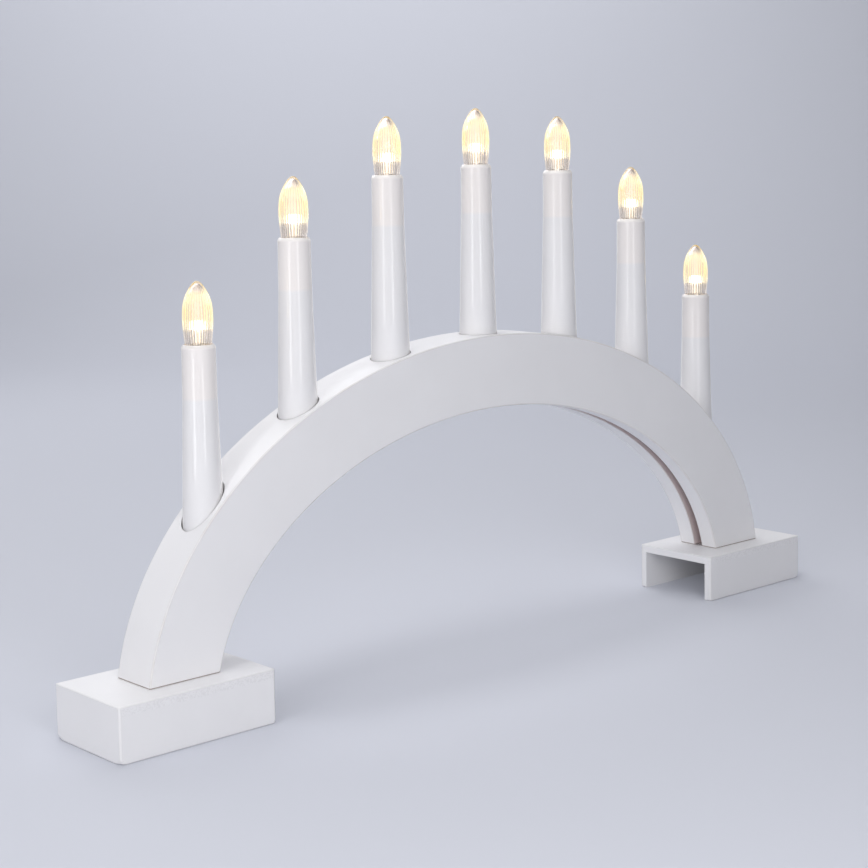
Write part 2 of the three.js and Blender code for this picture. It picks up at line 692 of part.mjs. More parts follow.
// The slider stands at the lit end of its travel
function sliderGeometry() {
  const y = -SWITCH_TRAVEL / 2;
  const front = SWITCH_END - CLEARANCE;
  const plateLow = [front - SLIDER_PLATE, y - SLIDER_LENGTH / 2, CELL_Z - SLIDER_HEIGHT / 2];
  const plateHigh = [front, y + SLIDER_LENGTH / 2, CELL_Z + SLIDER_HEIGHT / 2];
  const knobLow = [front - SLIDER_PLATE / 2, y - KNOB_LENGTH / 2, CELL_Z - KNOB_HEIGHT / 2];
  const knobHigh = [TRAY_LENGTH + KNOB_REACH, y + KNOB_LENGTH / 2, CELL_Z + KNOB_HEIGHT / 2];
  return join([block(plateLow, plateHigh), block(knobLow, knobHigh)]);
}

function batteryBox() {
  const group = new THREE.Group();
  group.position.set(BOX_X, 0, FOOT_UNDERSIDE);

  const padX = (BAY_START + BAY_END - PAD_LENGTH) / 2;
  const pad = block([padX, -PAD_WIDTH / 2, TRAY_TOP], [padX + PAD_LENGTH, PAD_WIDTH / 2, 0]);
  group.add(part("tray_pad", pad, FOAM));
  group.add(part("battery_tray", trayGeometry(), BLACK_PLASTIC));
  group.add(part("battery_cover", coverGeometry(), BLACK_PLASTIC));

  const linkFace = BAY_START + CONTACT_THICKNESS;
  const endFace = BAY_END - CONTACT_THICKNESS;
  const link = join([contactPlate(BAY_START, -CELL_Y, CELL_Y), spring(1, linkFace, CELL_Y)]);
  const negative = join([contactPlate(endFace, -CELL_Y, -CELL_Y), spring(-1, endFace, -CELL_Y)]);
  group.add(part("contact_link", link, NICKEL));
  group.add(part("contact_spring", negative, NICKEL));
  group.add(part("contact_plate", contactPlate(endFace, CELL_Y, CELL_Y), NICKEL));

  const firstCell = part("battery_cell_1", cellGeometry(), CELL_WRAP);
  firstCell.position.set(linkFace + CLEARANCE + CELL_LENGTH, -CELL_Y, CELL_Z);
  firstCell.rotation.z = Math.PI;
  const secondCell = part("battery_cell_2", cellGeometry(), CELL_WRAP);
  secondCell.position.set(endFace - CLEARANCE - CELL_LENGTH, CELL_Y, CELL_Z);
  group.add(firstCell, secondCell);

  group.add(part("switch_body", switchBodyGeometry(), BLACK_PLASTIC));
  group.add(part("switch_slider", sliderGeometry(), WHITE_PLASTIC));
  return group;
}

const candlestick = new THREE.Group();
candlestick.add(part("arch", archGeometry(), PAINT));
candlestick.add(foot("left", -1), foot("right", 1));
candlestick.add(...candles.map(candle));
candlestick.add(part("wiring_loom", loomGeometry(), WHITE_PLASTIC));
candlestick.add(batteryBox());

export default candlestick;
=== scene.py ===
# Electric advent candlestick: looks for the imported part. Shapes are given in millimetres and made in metres.
import math

import bmesh
import bpy
from mathutils import Matrix, Vector


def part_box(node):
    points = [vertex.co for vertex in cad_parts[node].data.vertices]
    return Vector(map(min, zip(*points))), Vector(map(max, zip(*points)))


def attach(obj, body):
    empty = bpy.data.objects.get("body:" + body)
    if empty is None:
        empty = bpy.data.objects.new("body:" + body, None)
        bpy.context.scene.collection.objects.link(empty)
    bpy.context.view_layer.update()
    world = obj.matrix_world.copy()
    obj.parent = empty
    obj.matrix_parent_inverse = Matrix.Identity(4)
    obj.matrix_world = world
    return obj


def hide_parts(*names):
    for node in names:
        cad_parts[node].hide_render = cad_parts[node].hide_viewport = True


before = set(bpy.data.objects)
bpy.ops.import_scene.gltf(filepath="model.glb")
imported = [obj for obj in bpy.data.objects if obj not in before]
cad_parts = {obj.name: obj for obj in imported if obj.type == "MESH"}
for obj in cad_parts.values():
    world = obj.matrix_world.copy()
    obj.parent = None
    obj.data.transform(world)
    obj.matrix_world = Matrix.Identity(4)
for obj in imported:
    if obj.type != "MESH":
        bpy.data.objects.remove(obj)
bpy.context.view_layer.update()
MM = 0.001

# Camera, as read from the photograph's perspective
IMAGE_SIZE = 868
FOCAL_PIXELS = 1808.8
AXIS_ROW = 330  # image row that the camera's axis meets
CAMERA_PLACE = (-684.2, -719.1, 277.2)
CAMERA_YAW = math.radians(42.17)
CAMERA_PITCH = math.radians(5.68)
CAMERA_ROLL = math.radians(-0.92)
SENSOR = 36

# Arch
FOOT_HEIGHT = 27.2
HALF_WIDTH = 230.5
RISE = 167.5
CENTRE_Z = 8.9
BAND = 40
THICKNESS = 28
EASE = 0.8
BASE_EASE = 0.5
CHANNEL_WIDTH = 6
CHANNEL_DEPTH = 10
CHANNEL_EASE = 0.45
ARCH_STEPS = 220
CORNER_STEPS = 4
SEAT_RADIUS = 10.8
SEAT_BELOW_MOUTH = 105.3
SEAT_CUT = 70  # height of the cutter, out through the arch's outer edge
OVERCUT = 1  # how far a cutter passes the face it opens

# Feet. BLUNT_CORNERS has the radius at a wall's outer end, then at its inner end
FOOT_UNDERSIDE = 22.7
TOP_ROUNDING = 0.7
POST_ROUNDING = 1.3
BASE_ROUNDING = 0.8
BLUNT_CORNERS = (3.4, 1.8)
BLUNT_STEPS = 7

# Wiring and battery cells
LOOM_INSET = 31.3
LOOM_RADIUS = 1
LOOM_GAP = 0.3
LOOM_STEPS = 20
LOOM_SMOOTHING = 8
BRANCH_STEPS = 6
LOOM_X = -191.9
LOOM_TURNS = (38.45, 27.2, 14.5)
LOOM_TOP = 17.2
CORE_RADIUS = 0.55
WIRE_BORE = 2.5
CELL_LENGTH = 50.5
CELL_WRAP_FROM = (6.3, 0.5)  # radius and height past which the wrap covers the can
CELL = (
    (0, 0.25), (4.6, 0.25), (4.9, 0), (6.3, 0), (6.55, 0.15), (6.6, 0.45), (7.0, 0.6), (7.1, 0.85), (7.1, 48.3),
    (6.95, 48.8), (6.5, 49.1), (6.1, 49.05), (5.8, 48.85), (2.9, 48.85), (2.75, 49), (2.75, 50.1), (2.5, 50.4),
    (2.2, CELL_LENGTH), (0, CELL_LENGTH),
)

# Screws, with heights counted from the head's face
SCREW_LENGTH = 30
HEAD_RADIUS = 3.5
HEAD_RIM = 0.5
SHANK_RADIUS = 1.75
SCREW = (
    (0, 0), (3.2, 0), (HEAD_RADIUS, 0.25), (HEAD_RADIUS, HEAD_RIM), (1.9, 2.1), (SHANK_RADIUS, 2.4),
    (SHANK_RADIUS, 25), (0.9, 28.2), (0, SCREW_LENGTH),
)
SCREW_RECESS = ((1.9, 0.45), (0.45, 1.9))
SCREW_RECESS_DEPTH = 1.5
SCREW_RECESS_TAPER = 0.55
SCREW_GAP = 0.3

# Candles, with heights counted from the tube's mouth
CANDLES = range(1, 8)
RIB_COUNT = 32
RIB_DEPTH = 0.36
RIB_STEPS = 6
RIB_END = 29
RIB_FADE = 6
RIB_FULL_RADIUS = 4
FLAME_HEIGHT = 30.5
FLAME = (
    (6.6, -3), (6.62, 0), (6.72, 1.5), (6.92, 3.6), (7.2, 6.4), (7.4, 9.3), (7.47, 12.2), (7.42, 15), (7.2, 17.9),
    (6.7, 20.8), (5.68, 23.6), (4.2, 26.5), (2.85, 28.6), (1.75, 29.8), (0.95, 30.3), (0, FLAME_HEIGHT),
)
FLAME_HOLLOW = (
    (5.4, -3), (5.45, 1), (6.0, 6.4), (6.2, 12.2), (5.9, 17.9), (4.3, 23.6), (3.0, 25.8), (1.6, 27.6), (0.7, 28.5),
    (0, 28.8),
)
TUBE = (
    (6.9, -3), (6.9, -0.35), (7.05, -0.06), (7.25, 0), (7.45, -0.1), (8.26, -1.3), (8.44, -1.7), (8.46, -2.1),
    (8.34, -3), (8.4, -12), (8.5, -25.8), (8.51, -26.2), (9.54, -65), (10.6, -104.6), (10.4, -105), (9.2, -105),
    (7.3, -26), (7.3, -3),
)
TUBE_LOWEST = -110
DOME_RADIUS = 1.9
DOME_CENTRE = 9.6
RESIN_FROM = 7.11
LED_STEM = (
    (0, 0.8), (1.6, 0.8), (1.6, 7.1), (2.4, 7.15), (2.5, 7.25), (2.5, 7.7), (2.4, 7.8), (DOME_RADIUS, 7.85),
    (DOME_RADIUS, DOME_CENTRE),
)

# Stage, in metres
BACKDROP_PLACE = 2.3
BACKDROP_HEIGHT = 2.8
BACKDROP_BEND = 1.0
BACKDROP_STEPS = 24
BACKDROP_HALF_WIDTH = 4.5
FLOOR_FRONT = (-4.0, -2.0, -1.0, 0.0, 0.8)
GLOW_NEAR, GLOW_FAR = (0.6, 0.1), (2.2, 0.5)  # distance from the object and the backdrop's own glow there
SIDE_MARGIN = 0.4  # so much further out before the glow grows to the sides


# Mesh helpers


def new_object(name, mesh):
    piece = bpy.data.objects.new(name, mesh)
    bpy.context.scene.collection.objects.link(piece)
    return piece


def mesh_from(name, points, faces, groups=None):
    mesh = bpy.data.meshes.new(name)
    mesh.from_pydata([(x * MM, y * MM, z * MM) for x, y, z in points], [], faces)
    if groups:
        mesh.polygons.foreach_set("material_index", groups)
    mesh.update()
    return mesh


def finish_mesh(mesh, sharp_angle=35):
    """Points the faces outwards, smooths them and keeps edges over the angle sharp."""
    bm = bmesh.new()
    bm.from_mesh(mesh)
    bmesh.ops.recalc_face_normals(bm, faces=bm.faces)
    for face in bm.faces:
        face.smooth = True
    for edge in bm.edges:
        if len(edge.link_faces) == 2 and edge.calc_face_angle(0) > math.radians(sharp_angle):
            edge.smooth = False
    bm.to_mesh(mesh)
    bm.free()
    return mesh


def weighted(piece):
    modifier = piece.modifiers.new("weighted", "WEIGHTED_NORMAL")
    modifier.keep_sharp = True
    modifier.weight = 100
    return piece


def lathe(name, profile, sides, closed=False, radius_at=None):
    """Turns a profile of radius and height about Z. radius_at may change the radius by angle."""
    points = []
    for radius, z in profile:
        for i in range(sides):
            angle = 2 * math.pi * i / sides
            r = radius_at(radius, z, angle) if radius_at else radius
            points.append((r * math.cos(angle), r * math.sin(angle), z))
    rows = len(profile)
    faces = []
    for j in range(rows if closed else rows - 1):
        a, b = j * sides, ((j + 1) % rows) * sides
        for i in range(sides):
            n = (i + 1) % sides
            faces.append((a + i, a + n, b + n, b + i))
    mesh = mesh_from(name, points, faces)
    bm = bmesh.new()
    bm.from_mesh(mesh)
    bmesh.ops.remove_doubles(bm, verts=bm.verts, dist=1e-7)
    bmesh.ops.dissolve_degenerate(bm, edges=bm.edges, dist=1e-8)
    bm.to_mesh(mesh)
    bm.free()
    return mesh


def smooth_curve(points, steps):
    """Catmull-Rom through the points, with the given steps between each two."""
    ends = [points[0], *points, points[-1]]
    made = []
    for i in range(1, len(ends) - 2):
        p0, p1, p2, p3 = ends[i - 1 : i + 3]
        for k in range(steps):
            u = k / steps
            made.append(
                tuple(
                    0.5 * (2 * b + (c - a) * u + (2 * a - 5 * b + 4 * c - d) * u**2 + (3 * b - a - 3 * c + d) * u**3)
                    for a, b, c, d in zip(p0, p1, p2, p3)
                )
            )
    return [*made, points[-1]]


# Material helpers


class Look:
    """A material with a Principled shader, in object coordinates."""

    def __init__(self, name, colour, roughness, metallic=0.0):
        self.material = bpy.data.materials.new(name)
        self.material.use_nodes = True
        self.tree = self.material.node_tree
        self.shader = self.tree.nodes["Principled BSDF"]
        self.shader.inputs["Base Color"].default_value = (*colour, 1)
        self.shader.inputs["Roughness"].default_value = roughness
        self.shader.inputs["Metallic"].default_value = metallic
        self.place = self.tree.nodes.new("ShaderNodeTexCoord").outputs["Object"]

    def node(self, kind, values=None, **settings):
        made = self.tree.nodes.new(kind)
        for key, value in settings.items():
            setattr(made, key, value)
        for key, value in (values or {}).items():
            socket = made.inputs[key]
            if isinstance(value, bpy.types.NodeSocket):
                self.tree.links.new(value, socket)
            else:
                socket.default_value = value
        return made

    def set(self, socket, value):
        if isinstance(value, bpy.types.NodeSocket):
            self.tree.links.new(value, self.shader.inputs[socket])
        else:
            self.shader.inputs[socket].default_value = value

    def math(self, operation, a, b=0.0):
        return self.node("ShaderNodeMath", {0: a, 1: b}, operation=operation).outputs[0]

    def noise(self, scale, detail=3, stretch=None):
        place = self.place
        if stretch:
            place = self.node("ShaderNodeMapping", {"Vector": place, "Scale": stretch}).outputs[0]
        return self.node("ShaderNodeTexNoise", {"Vector": place, "Scale": scale, "Detail": detail}).outputs["Fac"]

    def ramp(self, factor, stops):
        made = self.node("ShaderNodeValToRGB", {"Fac": factor})
        elements = made.color_ramp.elements
        while len(elements) < len(stops):
            elements.new(0.5)
        for element, (place, colour) in zip(elements, stops):
            element.position = place
            element.color = (*colour, 1)
        return made.outputs["Color"]

    def spread(self, value, low, high, to_low, to_high):
        values = {"Value": value, "From Min": low, "From Max": high, "To Min": to_low, "To Max": to_high}
        return self.node("ShaderNodeMapRange", values).outputs["Result"]

    def bump(self, height, distance, strength=1.0):
        values = {"Height": height, "Distance": distance * MM, "Strength": strength}
        self.set("Normal", self.node("ShaderNodeBump", values).outputs["Normal"])

    def height(self):
        return self.node("ShaderNodeSeparateXYZ", {"Vector": self.place}).outputs["Z"]


def wear(piece, *looks):
    if piece.data.materials:
        piece.data.materials.clear()
    for look in looks:
        piece.data.materials.append(look.material)


# Materials


def painted(name, colour, relief=1.0):
    look = Look(name, colour, 0.5)
    dark = tuple(c * 0.985 for c in colour)
    light = tuple(min(1, c * 1.012) for c in colour)
    look.set("Base Color", look.ramp(look.noise(28, 4), ((0.3, dark), (0.7, light))))
    look.set("Roughness", look.spread(look.noise(180, 3), 0.3, 0.7, 0.42, 0.56))
    peel = look.noise(420, 2)
    grain = look.noise(2400, 3)
    look.bump(look.math("ADD", peel, look.math("MULTIPLY", grain, 0.35)), 0.06 * relief, 0.5)
    look.set("Specular IOR Level", 0.35)
    return look


def stippled(name, colour):
    """Paint over the open grain of a sawn board edge."""
    look = painted(name, colour)
    dots = look.spread(look.noise(1200, 3), 0.4, 0.6, 0, 1)
    light = tuple(min(1, c * 1.02) for c in colour)
    look.set("Base Color", look.ramp(dots, ((0.0, tuple(c * 0.95 for c in colour)), (0.7, light))))
    look.bump(dots, 0.1, 0.4)
    return look


def worn(name, colour, bare):
    """Paint sanded thin along an edge."""
    look = painted(name, colour)
    look.set("Base Color", look.ramp(look.noise(70, 5), ((0.38, colour), (0.6, bare))))
    return look


def plastic(name, colour, roughness, grain=1500, depth=0.02):
    look = Look(name, colour, roughness)
    light = tuple(min(1, c * 1.06 + 0.004) for c in colour)
    look.set("Base Color", look.ramp(look.noise(90, 3), ((0.35, colour), (0.65, light))))
    look.set("Roughness", look.spread(look.noise(600, 2), 0.3, 0.7, roughness * 0.9, min(1, roughness * 1.12)))
    look.bump(look.noise(grain, 3), depth, 0.5)
    return look


def metal(name, colour, roughness):
    look = Look(name, colour, roughness, 1.0)
    dull = tuple(c * 0.86 for c in colour)
    look.set("Base Color", look.ramp(look.noise(160, 4), ((0.3, dull), (0.7, colour))))
    look.set("Roughness", look.spread(look.noise(900, 3), 0.3, 0.7, roughness * 0.8, roughness * 1.3))
    look.bump(look.noise(2600, 2), 0.01, 0.4)
    return look


PAINT_COLOUR = (0.86, 0.852, 0.868)
arch_paint = painted("arch_paint", PAINT_COLOUR)
foot_paint = painted("foot_paint", PAINT_COLOUR, relief=1.8)
# Painted shade: the wire channel is coloured darker and warmer than the arch, for the shade in its recess.
channel_shade = painted("channel_shade", (0.64, 0.55, 0.55), relief=2.5)
board_edge = stippled("board_edge", PAINT_COLOUR)
# Painted shade with wear: the arch's eased edges are coloured darker than the paint to damp their highlight, with
# sanded-thin patches of a barer colour.
worn_and_shaded_edge = worn("worn_and_shaded_edge", (0.77, 0.76, 0.77), (0.75, 0.725, 0.72))
# Painted shade: the feet's rounded edges are coloured a little darker than the paint to damp their highlight.
foot_edge_shade = painted("foot_edge_shade", (0.8, 0.79, 0.8), relief=1.8)
raw_edge = painted("raw_edge", (0.36, 0.3, 0.27), relief=2)
# Painted shade: the candle seats' bored faces are coloured darker than the arch's paint, for the shade in the bores.
seat_shade = painted("seat_shade", (0.78, 0.77, 0.77), relief=2)
white_plastic = plastic("white_plastic", (0.78, 0.77, 0.74), 0.45)
black_plastic = plastic("black_plastic", (0.022, 0.022, 0.024), 0.5, grain=1900, depth=0.05)
wire_sheath = plastic("wire_sheath", (0.8, 0.79, 0.76), 0.5)
foam = plastic("foam", (0.24, 0.24, 0.25), 0.95, grain=1400, depth=0.25)
nickel = metal("nickel", (0.7, 0.67, 0.61), 0.28)


def tube_look():
    look = Look("tube_plastic", (0.86, 0.85, 0.86), 0.08)
    # Painted glow: the tube's top, down to 26 mm below the mouth round the bulb's socket, is coloured warmer for the
    # bulb's light shining through the plastic.
    bulb_glow_tint = (0.88, 0.84, 0.825)
    cool = (0.835, 0.825, 0.835)
    zone = look.spread(look.height(), TUBE_LOWEST * MM, 0, 0, 1)
    look.set("Base Color", look.ramp(zone, ((0.0, cool), (0.752, cool), (0.768, bulb_glow_tint), (1.0, bulb_glow_tint))))
    look.set("Roughness", look.spread(look.noise(120, 3), 0.3, 0.7, 0.025, 0.05))
    look.bump(look.noise(70, 2, (1, 1, 0.25)), 0.02, 0.4)
    look.set("Subsurface Weight", 0.15)
    look.set("Subsurface Radius", (1, 1, 1))
    look.set("Subsurface Scale", 1.2 * MM)
    look.set("Sheen Weight", 1.0)
    look.set("Sheen Roughness", 0.4)
    look.set("Specular IOR Level", 0.55)
    look.set("Sheen Tint", (1, 0.97, 0.96, 1))
    return look


def clear_look(name):
    look = Look(name, (1, 0.98, 0.95), 0.06)
    look.set("Transmission Weight", 1.0)
    look.set("IOR", 1.45)
    look.set("Roughness", look.spread(look.noise(300, 2), 0.3, 0.7, 0.04, 0.08))
    return look


def flame_look():
    look = clear_look("flame_glass")
    axes = look.node("ShaderNodeSeparateXYZ", {"Vector": look.place}).outputs
    turn = look.math("ARCTAN2", axes["Y"], axes["X"])
    wave = look.math("SINE", look.math("MULTIPLY", turn, float(RIB_COUNT)))
    crest = look.spread(wave, -1, 1, 0, 1)
    level = look.spread(axes["Z"], 0, FLAME_HEIGHT * MM, 0, 1)
    streak = look.spread(look.noise(420, 2, (1, 1, 0.06)), 0.35, 0.65, 0.7, 1.1)
    depth = look.ramp(level, ((0.2, (1, 1, 1)), (0.6, (0.95, 0.95, 0.95)), (0.85, (0.6, 0.6, 0.6))))
    ribs = look.math("SUBTRACT", 1.0, look.math("MULTIPLY", depth, look.math("SUBTRACT", 1.0, crest)))
    # Painted glow: the glass is given a warm emission by height, stronger on the rib crests and in streaks, standing
    # in for the LED's light carried through it.
    glow = look.ramp(
        level,
        (
            (0.0, (0.15, 0.13, 0.11)),
            (0.19, (0.17, 0.14, 0.1)),
            (0.26, (0.42, 0.34, 0.17)),
            (0.38, (0.5, 0.36, 0.1)),
            (0.55, (0.53, 0.385, 0.11)),
            (0.72, (0.55, 0.43, 0.17)),
            (0.82, (0.43, 0.32, 0.12)),
            (0.89, (0.17, 0.12, 0.06)),
            (0.95, (0.06, 0.045, 0.035)),
            (1.0, (0.06, 0.045, 0.04)),
        ),
    )
    look.set("Emission Color", glow)
    look.set("Emission Strength", look.math("MULTIPLY", ribs, streak))
    # The glass is tinted brownish between the skirt's ribs and near the tip, except in streaks where it stays clear.
    skirt = look.math("MAXIMUM", crest, look.spread(level, 0.2, 0.32, 0, 1))
    tip_clear_streaks = look.spread(look.noise(330, 2, (1, 1, 0.1)), 0.44, 0.6, 0, 1)
    tip = look.math("MAXIMUM", tip_clear_streaks, look.spread(level, 0.78, 0.9, 1, 0))
    clear = look.math("MINIMUM", skirt, tip)
    tints = ((0.0, (0.72, 0.6, 0.52)), (0.4, (1, 0.97, 0.94)), (1.0, (1, 0.98, 0.95)))
    look.set("Base Color", look.ramp(clear, tints))
    return look


def lamp_look():
    look = Look("led_resin", (1, 0.86, 0.6), 0.25)
    look.set("Emission Color", look.ramp(look.noise(400, 2), ((0.3, (1, 0.8, 0.5)), (0.7, (1, 0.86, 0.6)))))
    look.set("Emission Strength", 5.5)
    return look


def stem_look():
    look = plastic("stem_plastic", (0.85, 0.82, 0.76), 0.4)
    # Painted glow: the LED's plastic stem is given a faint warm emission for the LED's light in it.
    look.set("Emission Color", look.ramp(look.noise(300, 2), ((0.3, (1, 0.86, 0.62)), (0.7, (1, 0.92, 0.74)))))
    look.set("Emission Strength", 0.7)
    return look


def cell_look():
    look = Look("cell_wrap", (0.1, 0.2, 0.12), 0.3)
    share = look.spread(look.height(), 0, CELL_LENGTH * MM, 0, 1)
    green, pale = (0.1, 0.2, 0.12), (0.55, 0.57, 0.55)
    look.set("Base Color", look.ramp(share, ((0.0, green), (0.84, green), (0.85, pale), (1.0, pale))))
    look.set("Metallic", look.spread(share, 0.84, 0.85, 0.1, 0.7))
    look.set("Roughness", look.spread(look.noise(500, 3), 0.3, 0.7, 0.25, 0.36))
    look.bump(look.noise(900, 2), 0.01, 0.4)
    return look


tube_plastic = tube_look()
flame_glass = flame_look()
inner_glass = clear_look("inner_glass")
led_resin = lamp_look()
stem_plastic = stem_look()
cell_wrap = cell_look()


# Arch


def arch_point(t, inset):
    normal = Vector((RISE * math.cos(t), HALF_WIDTH * math.sin(t))).normalized()
    return HALF_WIDTH * math.cos(t) - inset * normal.x, CENTRE_Z + RISE * math.sin(t) - inset * normal.y


def turn_at_height(inset, z):
    low, high = -math.pi / 2, math.pi / 2
    for _ in range(50):
        middle = (low + high) / 2
        if arch_point(middle, inset)[1] < z:
            low = middle
        else:
            high = middle
    return (low + high) / 2


def corner(d, y, radius, start):
    angles = [math.radians(start + 90 * k / CORNER_STEPS) for k in range(CORNER_STEPS + 1)]
    return [(d + radius * math.cos(a), y + radius * math.sin(a)) for a in angles]


def arch_section(shrink):
    """Outline across the band, as inset and depth, drawn in by shrink. The channel's points come second."""
    half, slot = THICKNESS / 2, CHANNEL_WIDTH / 2
    ease, lip = EASE - shrink, CHANNEL_EASE - shrink
    floor = BAND - CHANNEL_DEPTH - shrink
    front = corner(EASE, EASE - half, ease, 180) + corner(BAND - EASE, EASE - half, ease, 270)
    front += corner(BAND - CHANNEL_EASE, -slot - CHANNEL_EASE, lip, 0)
    channel = [(floor, -slot - shrink), (floor, slot + shrink)]
    rear = corner(BAND - CHANNEL_EASE, slot + CHANNEL_EASE, lip, 270)
    rear += corner(BAND - EASE, half - EASE, ease, 0) + corner(EASE, half - EASE, ease, 90)
    return front, channel, rear


def leg_ring(z, shrink, side):
    outline = sum(arch_section(shrink), [])
    return [(side * arch_point(turn_at_height(d, z), d)[0], y, z) for d, y in outline]


def arch_mesh():
    front, channel, rear = arch_section(0)
    outline = front + channel + rear
    eased = []
    for k in range(CORNER_STEPS + 1):
        a = math.pi / 2 * k / CORNER_STEPS
        eased.append((FOOT_HEIGHT + BASE_EASE * (1 - math.cos(a)), BASE_EASE * (1 - math.sin(a))))
    starts = [turn_at_height(d, FOOT_HEIGHT + BASE_EASE) for d, _ in outline]
    rings = [leg_ring(z, shrink, 1) for z, shrink in eased]
    for i in range(1, ARCH_STEPS):
        ring = []
        for (d, y), start in zip(outline, starts):
            x, z = arch_point(start + (math.pi - 2 * start) * i / ARCH_STEPS, d)
            ring.append((x, y, z))
        rings.append(ring)
    rings += [leg_ring(z, shrink, -1) for z, shrink in reversed(eased)]
    size = len(outline)
    # The channel's faces take the darker channel colour, painted shade in the recess.
    slot_edges = range(len(front) - 1, len(front) + len(channel))
    arc = CORNER_STEPS + 1
    faces, groups = [], []
    for j in range(len(rings) - 1):
        raw = j < CORNER_STEPS or j >= len(rings) - 1 - CORNER_STEPS
        for i in range(size):
            n = (i + 1) % size
            faces.append((j * size + i, j * size + n, (j + 1) * size + n, (j + 1) * size + i))
            # Faces on the eased edges wear the darker edge colour: painted shade against their highlight, with
            # sanded wear.
            flat = i in (arc - 1, 2 * arc - 1, size - 1) or size - i in (2 * arc + 1, arc + 1)
            groups.append(2 if raw else 1 if i in slot_edges else 0 if flat else 3)
    last = (len(rings) - 1) * size
    faces += [tuple(range(size)), tuple(range(last, last + size))]
    groups += [2, 2]
    return mesh_from("arch_board", sum(rings, []), faces, groups)


def bored(piece, cutters):
    """Cuts the cutters out of the piece and takes them away."""
    for cutter in cutters:
        modifier = piece.modifiers.new("bore", "BOOLEAN")
        modifier.operation = "DIFFERENCE"
        modifier.solver = "EXACT"
        modifier.object = cutter
    bpy.context.view_layer.update()
    plain = piece.data
    result = bpy.data.meshes.new_from_object(piece.evaluated_get(bpy.context.evaluated_depsgraph_get()))
    piece.modifiers.clear()
    piece.data = result
    result.name = plain.name
    bpy.data.meshes.remove(plain)
    for cutter in cutters:
        mesh = cutter.data
        bpy.data.objects.remove(cutter)
        bpy.data.meshes.remove(mesh)
    return piece


def candle_place(k):
    low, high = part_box(f"candle_tube_{k}")
    return Vector(((low.x + high.x) / 2, (low.y + high.y) / 2, high.z))


def borer(name, profile, x, y, looks, look):
    """A turned cutter, whose cut faces wear one of the looks."""
    cutter = new_object(name, finish_mesh(lathe(name, profile, 64)))
    cutter.location = (x * MM, y * MM, 0)
    wear(cutter, *looks)
    cutter.data.polygons.foreach_set("material_index", [looks.index(look)] * len(cutter.data.polygons))
    return cutter


def rod(radius, low, high):
    return (0, low), (radius, low), (radius, high), (0, high)


def height_over(x, inset):
    low, high = 0, math.pi
    for _ in range(50):
        middle = (low + high) / 2
        if arch_point(middle, inset)[0] > x:
            low = middle
        else:
            high = middle
    return arch_point(low, inset)[1]


def screw_place(foot, place):
    low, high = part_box(f"{foot}_screw_{place}")
    return Vector(((low.x + high.x) / 2, (low.y + high.y) / 2, low.z)) / MM


def arch_borers():
    made = []
    for k in CANDLES:
        x, _, mouth = candle_place(k) / MM
        seat = mouth - SEAT_BELOW_MOUTH
        made.append(borer(f"seat_{k}", rod(SEAT_RADIUS, seat, seat + SEAT_CUT), x, 0, ARCH_LOOKS, seat_shade))
        wire = rod(WIRE_BORE, height_over(x, LOOM_INSET), seat + OVERCUT)
        made.append(borer(f"wire_bore_{k}", wire, x, 0, ARCH_LOOKS, raw_edge))
    for foot in ("left", "right"):
        for place in ("front", "rear"):
            x, y, z = screw_place(foot, place)
            pilot = rod(SHANK_RADIUS + SCREW_GAP, FOOT_HEIGHT - OVERCUT, z + SCREW_LENGTH + SCREW_GAP)
            made.append(borer(f"{foot}_{place}_pilot", pilot, x, y, ARCH_LOOKS, raw_edge))
    return made


ARCH_LOOKS = (arch_paint, channel_shade, raw_edge, worn_and_shaded_edge, seat_shade)
arch = new_object("arch_board", arch_mesh())
finish_mesh(arch.data)
wear(arch, *ARCH_LOOKS)
bored(arch, arch_borers())
finish_mesh(arch.data)
weighted(arch)
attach(arch, "stand")
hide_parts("arch")


# Feet


def blunt_corners(mesh, low, high, out, way):
    """Rounds off a wall's lower corners, from its outer face to nothing at its inner face."""
    depth = high.y - low.y
    outer = low.y if way < 0 else high.y
    widest, steps = max(BLUNT_CORNERS) * MM, BLUNT_STEPS
    ends = []
    for end, side in ((low.x, 1), (high.x, -1)):
        ends.append((end, side, BLUNT_CORNERS[0 if side == -out else 1] * MM))
    cuts = [((0, outer - way * depth * k / steps, 0), (0, 1, 0)) for k in range(1, steps)]
    for k in range(1, steps + 1):
        cuts.append(((0, 0, low.z + widest * k / steps), (0, 0, 1)))
        cuts += [((end + side * radius * k / steps, 0, 0), (1, 0, 0)) for end, side, radius in ends]
    bm = bmesh.new()
    bm.from_mesh(mesh)
    for place, normal in cuts:
        whole = [*bm.verts, *bm.edges, *bm.faces]
        bmesh.ops.bisect_plane(bm, geom=whole, plane_co=place, plane_no=normal, dist=1e-7)
    for vert in bm.verts:
        fade = 1 - abs(vert.co.y - outer) / depth
        for end, side, radius in ends:
            rise = radius - (vert.co.z - low.z)
            reach = radius - (vert.co.x - end) * side
            if rise > 0 and reach > 0:
                share = 1 - fade * (1 - max(rise, reach) / math.hypot(rise, reach))
                vert.co.z = low.z + radius - rise * share
                vert.co.x = end + side * (radius - reach * share)
    bm.to_mesh(mesh)
    bm.free()


